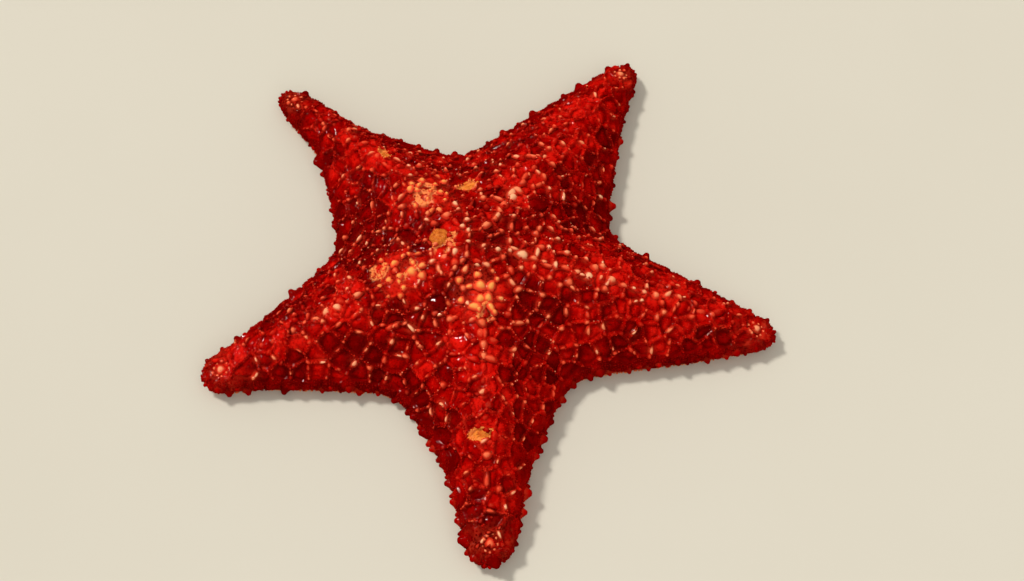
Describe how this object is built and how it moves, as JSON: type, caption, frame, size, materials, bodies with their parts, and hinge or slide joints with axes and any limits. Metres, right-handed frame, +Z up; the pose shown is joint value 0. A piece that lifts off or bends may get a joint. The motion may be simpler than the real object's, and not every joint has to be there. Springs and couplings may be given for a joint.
{
  "type": "sea star",
  "caption": "Still, life-size red cushion sea star lying on its flat underside, arms spread, with rows of blunt spines.",
  "frame": {"origin": "middle of the model's box at the level of its flat underside, about 10 mm from the mouth's centre", "axes": "+Z up, out of the upper side; -Y along the arm that points to the viewer; +X to the viewer's right"},
  "size_m": [0.2744, 0.2744, 0.05],
  "materials": {
    "skin": "wet, glossy deep red with orange-red ridges and cream tubercles",
    "tip_skin": "wet, orange red",
    "madreporite": "finely grooved, amber",
    "mouth": "soft, wet, pale pink brown",
    "tube_feet": "soft, translucent cream"
  },
  "bodies": {
    "root": {"disc": "skin", "arm_a": "skin", "arm_b": "skin", "arm_c": "skin", "arm_d": "skin", "arm_e": "skin", "arm_a_tip": "tip_skin", "arm_b_tip": "tip_skin", "arm_c_tip": "tip_skin", "arm_d_tip": "tip_skin", "arm_e_tip": "tip_skin", "madreporite": "madreporite", "mouth": "mouth", "tube_feet_a": "tube_feet", "tube_feet_b": "tube_feet", "tube_feet_c": "tube_feet", "tube_feet_d": "tube_feet", "tube_feet_e": "tube_feet"}
  },
  "joints": []
}
